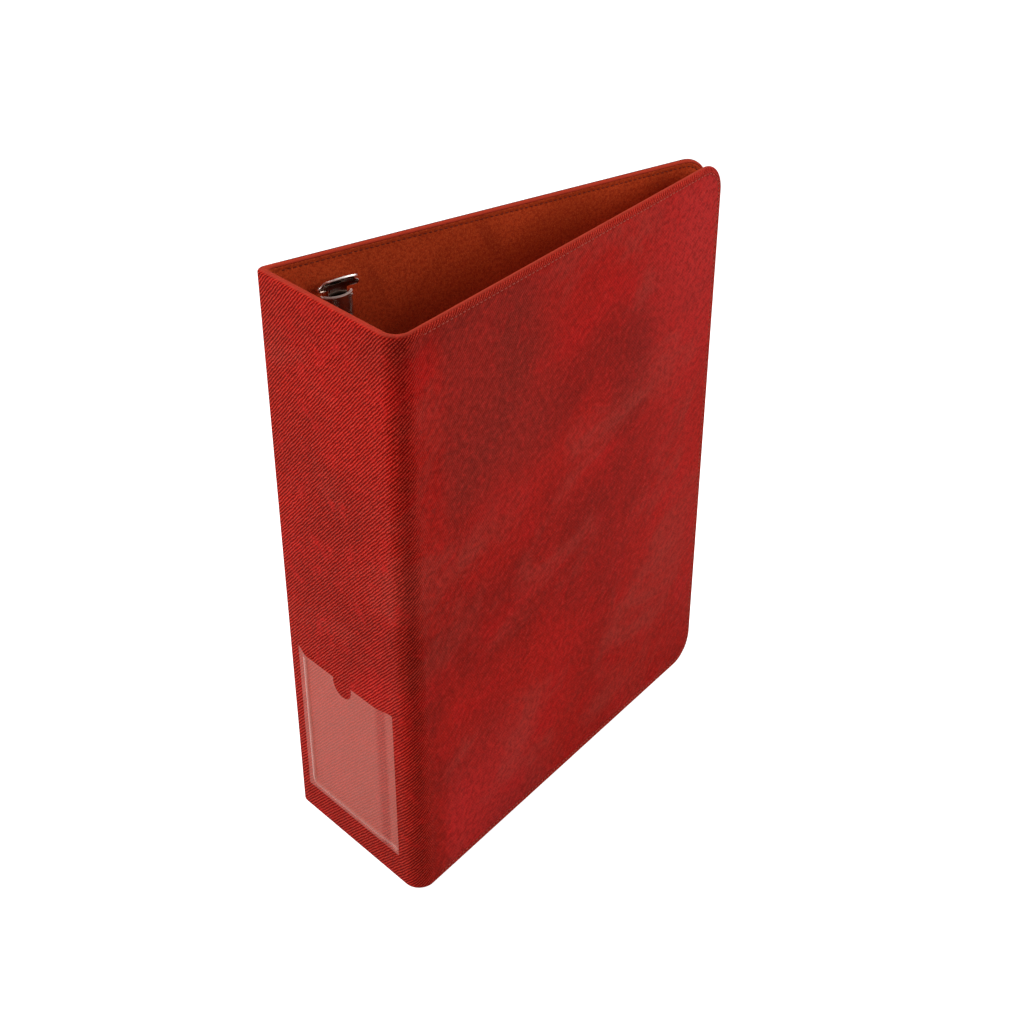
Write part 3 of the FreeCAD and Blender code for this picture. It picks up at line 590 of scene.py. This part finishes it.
def skin_profile():
    outside = [(CORNER, 0, 0), (10, 0, 0), (7.0, 0, 0), (5.2, 0, 0.02), (4.4, 0, 0.06),
               (3.9, 0, 0.14), (STITCH_INSET + 0.15, 0, GROOVE), (STITCH_INSET - 0.2, 0, GROOVE),
               (2.75, 0, 0.10), (2.3, 0, -0.02)]
    edge = round_edge(1.9, 1.0, 0.0, 16)
    tuck = [(1.12, THICK - 0.03, 0), (1.25, THICK - 0.12, 0), (1.3, THICK - 0.3, 0),
            (1.28, THICK - 0.56, 0), (1.2, THICK - 0.64, 0)]
    inside = round_edge(1.9, 1.1, 0.65, 6)[::-1]
    return outside + edge + tuck + inside + [(5.0, 0.65, 0), (CORNER, 0.65, 0)]


def lining_profile():
    top = THICK
    face = [(CORNER, top, 0), (9, top, 0), (5.4, top, 0), (4.4, top, -0.03), (3.9, top, -0.10),
            (STITCH_INSET + 0.15, top, -0.2), (STITCH_INSET - 0.2, top, -0.2), (2.75, top, -0.10),
            (2.2, top, 0.0), (1.7, top, 0.0)]
    edge = [(1.45, top - 0.04, 0), (1.34, top - 0.2, 0), (1.34, top - 0.55, 0), (1.6, top - 0.66, 0)]
    return face + edge + [(CORNER, top - 0.68, 0)]


def blend_over_bend(piece, side, depth):
    """Bakes the sheet's placement into its mesh.  The bend's start and end points are worked out and not
    used.
    """
    start, end, _ = marks(side)
    a = case_point(side, start, depth, HEIGHT / 2)
    b = case_point(side, end, depth, HEIGHT / 2)
    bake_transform(piece)


def build_case():
    for side in (FRONT, BACK):
        word = SIDE_NAME[side]
        skin = case_sheet("case_skin_" + word, side, skin_profile(), SKIN)
        blend_over_bend(skin, side, 0.0)
        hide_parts(word + "_skin", word + "_hinge_skin", "spine_skin")
        lining = case_sheet("case_lining_" + word, side, lining_profile()[::-1], LINING,
                            seen_inside=True)
        blend_over_bend(lining, side, THICK)
        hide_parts(word + "_lining", word + "_hinge_lining", "spine_lining")


# ---------------------------------------------------------------- sewing

def sewing_path(side):
    """The sewn line as (s, z) points, the distance run at each, and where the stitches' middles lie."""
    start = marks(side)[1] + STITCH_START[side]
    edge = marks(side)[2]
    radius = CORNER - STITCH_INSET
    angles = np.linspace(0, math.pi / 2, 40)
    low = [(start, STITCH_INSET)]
    turn = [(edge - CORNER + radius * math.sin(a), CORNER - radius * math.cos(a)) for a in angles]
    half = low + turn + [(edge - STITCH_INSET, HEIGHT / 2)]
    path = np.array(half + [(s, HEIGHT - z) for s, z in reversed(half[:-1])])
    length = np.concatenate([[0], np.cumsum(np.linalg.norm(np.diff(path, axis=0), axis=1))])
    count = int(length[-1] / STITCH_PITCH)
    at = (np.arange(count) + 0.5) * length[-1] / count
    return path, length, at


def tube_mesh(name, rows, sides, material):
    """Closed tubes.  rows holds, for each tube, a list of rings of points."""
    verts, faces = [], []
    for rings in rows:
        first = len(verts)
        for points in rings:
            verts.extend(points)
        for r in range(len(rings) - 1):
            for k in range(sides):
                a = first + r * sides + k
                b = first + r * sides + (k + 1) % sides
                faces.append((a, b, b + sides, a + sides))
        last = first + (len(rings) - 1) * sides
        faces.append(tuple(first + k for k in reversed(range(sides))))
        faces.append(tuple(last + k for k in range(sides)))
    return new_piece(name, verts, faces, material)


def build_sewing(side, inside):
    """One row of stitches on the outer or the inner face of a cover."""
    rng = random.Random(7 + side + 10 * inside)
    path, length, at = sewing_path(side)
    reach, sides = 0.34 * STITCH_PITCH, 6
    out = 1.0 if inside else -1.0
    face = THICK - 0.2 if inside else GROOVE
    rows = []
    for mid in at:
        mid += rng.uniform(-0.08, 0.08)
        slant = rng.uniform(-0.10, 0.14)
        rings = []
        for t, lift, size in ((-1, -0.26, 0.12), (-0.75, -0.02, 0.24), (-0.3, 0.12, 0.29),
                              (0.3, 0.12, 0.29), (0.75, -0.02, 0.24), (1, -0.26, 0.12)):
            here = mid + t * reach
            s = np.interp(here, length, path[:, 0])
            z = np.interp(here, length, path[:, 1])
            s1 = np.interp(here + 0.05, length, path[:, 0])
            z1 = np.interp(here + 0.05, length, path[:, 1])
            way = np.array([s1 - s, z1 - z])
            way /= max(np.linalg.norm(way), 1e-9)
            normal = np.array([-way[1], way[0]])
            points = []
            for k in range(sides):
                a = 2 * math.pi * k / sides
                w = size * math.cos(a) + slant * t
                points.append(case_point(side, s + normal[0] * w,
                                         face + out * (lift + size * math.sin(a)),
                                         z + normal[1] * w))
            rings.append(points)
        rows.append(rings)
    name = "stitches_%s_%s" % (SIDE_NAME[side], "inside" if inside else "outside")
    piece = tube_mesh(name, rows, sides, THREAD_IN if inside else THREAD_OUT)
    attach(piece, COVER[side])


# ---------------------------------------------------------------- label pocket

def pocket_top(a):
    """Height of the film's upper edge at distance a from its left edge."""
    top = POCKET_MOUTH + LEFT_RISE[0] * (1 - smooth(a, *LEFT_RISE[1:]))
    top += RIGHT_RISE[0] * smooth(a, *RIGHT_RISE[1:])
    off = abs(a - NOTCH_AT)
    floor = (POCKET_MOUTH - NOTCH_DEEP + NOTCH_RADIUS
             - math.sqrt(max(NOTCH_RADIUS ** 2 - off ** 2, 0)))
    if off < NOTCH_RADIUS:
        return floor
    rise = math.sqrt(min((off - NOTCH_RADIUS) / 1.8, 1.0))
    return top - (1 - rise) * 1.8


def film_height(a, b):
    """Outer face of the film above the skin, with its welded border and its raised bead."""
    bend = 4.6  # radius of the border's corner
    right = FILM_FLAT - a
    qa, qb = a - BEAD_LEFT, b - BEAD_LOW
    dx, dy = np.clip(bend - qa, 0, None), np.clip(bend - qb, 0, None)
    inside = np.where((dx > 0) & (dy > 0), bend - np.hypot(dx, dy), np.minimum(qa, qb))
    plateau = 0.75 * smooth(inside, -0.9, 0.9) * smooth(right, 0.0, 8.0)
    bead = 0.55 * np.exp(-((inside - 0.4) / 0.75) ** 2) * smooth(right, -1.0, 4.0)
    edge = 0.35 * smooth(-right, 1.0, 5.4)
    lift = 0.25 * smooth(b, 70.0, 92.0) * smooth(inside, 2.0, 12.0) * smooth(right, 2.0, 12.0)
    return 0.38 + plateau + bead + edge + lift


def film_bead_highlight(a, b):
    """How much painted highlight whitens the film: along the bead at its left, less along its lower side.
    """
    left = 0.6 * np.exp(-((a - BEAD_LEFT - 0.2) / 0.9) ** 2) * smooth(b, 3.0, 8.0)
    low = 0.2 * np.exp(-((b - BEAD_LOW - 0.2) / 1.2) ** 2) * smooth(a, 4.0, 9.0)
    return np.clip(left + low, 0, 1)


def build_pocket():
    notch = NOTCH_AT + NOTCH_RADIUS * np.sin(np.linspace(-math.pi / 2, math.pi / 2, 25))
    shoulders = [NOTCH_AT + k * (NOTCH_RADIUS + w) for k in (-1, 1) for w in (0.1, 0.4, 0.9, 1.8)]
    cols = np.concatenate([np.linspace(0, 12, 25), np.linspace(13.5, 26, 9), notch, shoulders,
                           np.linspace(46.5, 62, 11), np.linspace(63, POCKET_WIDE, 21)])
    cols = np.unique(np.round(cols, 4))
    rows = np.concatenate([np.linspace(0, 0.12, 23), np.linspace(0.15, 1.0, 36)])
    a = np.repeat(cols[:, None], len(rows), 1)
    top = np.array([pocket_top(c) for c in cols]) - POCKET_LOW
    b = top[:, None] * rows[None, :]
    high = film_height(a, b)
    front = np.stack([POCKET_LEFT + a, -high, POCKET_LOW + b], -1) * MM
    back = np.stack([POCKET_LEFT + a, -(high - FILM_THICK), POCKET_LOW + b], -1) * MM
    n, m = a.shape
    verts = np.concatenate([front.reshape(-1, 3), back.reshape(-1, 3)])
    ids = np.arange(n * m).reshape(n, m)
    faces = []
    for i in range(n - 1):
        for j in range(m - 1):
            quad = [ids[i, j], ids[i + 1, j], ids[i + 1, j + 1], ids[i, j + 1]]
            faces.append(quad)
            faces.append([q + n * m for q in reversed(quad)])
    loop = np.concatenate([ids[:, 0], ids[-1, 1:], ids[-2::-1, -1], ids[0, -2:0:-1]])
    for k in range(len(loop)):
        p, q = loop[k - 1], loop[k]
        faces.append([q, p, p + n * m, q + n * m])
    piece = new_piece("label_film", verts, faces, FILM)
    highlight_white = film_bead_highlight(a, b).reshape(-1)
    point_values(piece, "bead", np.concatenate([highlight_white, highlight_white]))
    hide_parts("label_pocket")
    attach(piece, "spine")


# ---------------------------------------------------------------- ring mechanism

MECH_CENTRE = 38.2
PIN_HIGH = THICK + 1.5
PIN_FROM_MIDDLE = 136.8


def back_point(u, v, z):
    """Point in the back cover's frame: u from the corner, v inward from the outer face."""
    x = -SPINE / 2 + u * math.sin(LEAN) + v * math.cos(LEAN)
    y = u * math.cos(LEAN) - v * math.sin(LEAN)
    return Vector((x * MM, y * MM, z * MM))


# The lever's cross-sections: distance along the cover from the pin, height above it, half width
LEVER_LINE = [(-3.2, 0.1, 3.0), (-1.5, 0.0, 3.0), (0.4, 0.0, 3.0), (0.9, 0.0, 4.7), (4.0, 0.2, 4.8),
              (5.0, 0.35, 4.9), (5.4, 0.45, 8.6), (5.8, 0.55, 10.2), (6.5, 0.7, 10.7),
              (7.4, 0.95, 10.6), (8.1, 1.2, 9.9), (8.5, 1.4, 8.8), (9.1, 1.9, 8.2),
              (9.9, 2.8, 8.1), (10.9, 4.2, 8.1), (12.0, 5.8, 7.9), (13.1, 7.2, 7.4),
              (13.8, 8.2, 6.4), (14.1, 8.7, 5.2)]


def build_lever(node, way):
    """Pressed lever: tongue, neck, shoulders with curled ends and a raised thumb tab."""
    count = 25
    verts, faces = [], []
    for out, high, half in LEVER_LINE:
        for k in range(count):
            b = 2 * k / (count - 1) - 1
            curl = 0.8 * smooth(abs(b), 0.80, 1.0) * (1 if 5.2 < out < 8.2 else 0)
            dish = -0.35 * b * b * (1 if out > 8.8 else 0)
            z = HEIGHT / 2 + way * (PIN_FROM_MIDDLE + out - 0.5 * b * b * (1 if out > 12 else 0))
            verts.append(back_point(MECH_CENTRE + b * half, PIN_HIGH + high + curl + dish, z))
    for r in range(len(LEVER_LINE) - 1):
        for k in range(count - 1):
            a = r * count + k
            quad = (a, a + 1, a + 1 + count, a + count)
            faces.append(quad if way > 0 else quad[::-1])
    # darker steel paints in the lever's dark reflections; the sheet's rim faces get the painted highlight
    piece = new_piece(node + "_pressed", verts, faces, LEVER_STEEL_DARK_REFLECTION)
    piece.data.materials.append(LEVER_RIM_HIGHLIGHT)
    solid = piece.modifiers.new("sheet", "SOLIDIFY")
    solid.thickness = 0.8 * MM
    solid.offset = 0.0
    solid.material_offset_rim = 1
    soften(piece, 0.22)
    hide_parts(node)
    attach(piece, "top_lever" if way > 0 else "bottom_lever")


def build_rivets():
    """Two rivets with domed heads on the shell."""
    rows = []
    sides = 28
    crown = THICK + 4.4
    line = [(0.7, 4.2), (1.5, 4.2), (1.5, 2.2), (crown - 0.05, 2.2), (crown - 0.05, 4.15),
            (crown + 0.15, 4.2), (crown + 0.4, 4.05), (crown + 0.75, 3.4), (crown + 1.0, 2.3),
            (crown + 1.1, 1.0), (crown + 1.12, 0.2)]
    for z in (HEIGHT / 2 - RIVET_FROM_MIDDLE, HEIGHT / 2 + RIVET_FROM_MIDDLE):
        rows.append([[back_point(MECH_CENTRE + r * math.cos(2 * math.pi * k / sides), v,
                                 z + r * math.sin(2 * math.pi * k / sides))
                      for k in range(sides)] for v, r in line])
    piece = tube_mesh("domed_rivets", rows, sides, STEEL)
    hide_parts("mounting_rivets")
    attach(piece, "back_cover")


def dress_cad_nodes():
    """Materials for the CAD nodes that stay: boards inside the case, shell, plates, rings, pins."""
    for name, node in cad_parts.items():
        if node.hide_render:
            continue
        if name == "ring_shell":
            soften(node, 0.2)
        node.data.materials.clear()
        plain = BOARD if name.endswith("_board") else STEEL
        node.data.materials.append(SHELL_STEEL if name == "ring_shell" else plain)


# ---------------------------------------------------------------- studio

CAMERA_AT = (0.53043, -0.37919, 0.63606)
CAMERA_TURN, CAMERA_TILT = 47.25, 33.18  # degrees from +Y toward -X, and downward
CAMERA_LENS = 58.48


def area_light(name, place, target, size, power, colour=(1, 1, 1)):
    data = bpy.data.lights.new(name, "AREA")
    data.shape = "RECTANGLE"
    data.size = data.size_y = size
    data.energy = power
    data.color = colour
    light = bpy.data.objects.new(name, data)
    light.location = place
    light.rotation_euler = (Vector(target) - Vector(place)).to_track_quat("-Z", "Y").to_euler()
    bpy.context.scene.collection.objects.link(light)


def for_camera(sh, seen, other):
    """A value that differs between what the camera sees and what lights the scene."""
    camera_ray = sh.add("ShaderNodeLightPath").outputs["Is Camera Ray"]
    return sh.scaled(camera_ray, seen - other, other)


def build_studio():
    scene = bpy.context.scene
    scene.view_settings.view_transform = "Standard"
    world = bpy.data.worlds.new("studio")
    world.use_nodes = True
    sh = Shader("studio", world.node_tree)
    background = world.node_tree.nodes["Background"]
    background.inputs["Color"].default_value = (1.0, 1.0, 1.0, 1)
    sh.put(background.inputs["Strength"], for_camera(sh, 1.0, 0.22))
    scene.world = world
    warm = (1.0, 0.98, 0.96)
    area_light("left", (-0.75, -1.15, 1.0), (0, 0.0, 0.17), 0.6, 21.5, warm)
    area_light("right", (0.86, 0.86, 0.72), (0.03, 0.2, 0.22), 0.5, 7.0, warm)
    area_light("top", (0.0, -0.05, 1.4), (-0.05, 0.10, 0.25), 0.5, 7.0)
    bpy.ops.mesh.primitive_plane_add(size=8.0, location=(0, 0, 0))
    floor = bpy.context.object
    floor.name = "floor"
    sh = Shader("pale_floor")
    floor.data.materials.append(sh.finish(sh.principled(
        Base_Color=(0.7, 0.7, 0.7, 1.0), Roughness=0.7, Emission_Color=(1.0, 1.0, 1.0, 1.0),
        Emission_Strength=for_camera(sh, 0.85, 0.0))))
    data = bpy.data.cameras.new("camera")
    data.lens = CAMERA_LENS
    data.sensor_width = 36.0
    data.clip_start = 0.01
    camera = bpy.data.objects.new("camera", data)
    camera.location = CAMERA_AT
    turn, tilt = math.radians(CAMERA_TURN), math.radians(CAMERA_TILT)
    look = Vector((-math.sin(turn) * math.cos(tilt), math.cos(turn) * math.cos(tilt),
                   -math.sin(tilt)))
    camera.rotation_euler = look.to_track_quat("-Z", "Y").to_euler()
    scene.collection.objects.link(camera)
    scene.camera = camera


build_case()
for cover_side in (FRONT, BACK):
    for is_inside in (False, True):
        build_sewing(cover_side, is_inside)
build_pocket()
build_lever("lever_top", 1)
build_lever("lever_bottom", -1)
build_rivets()
dress_cad_nodes()
build_studio()
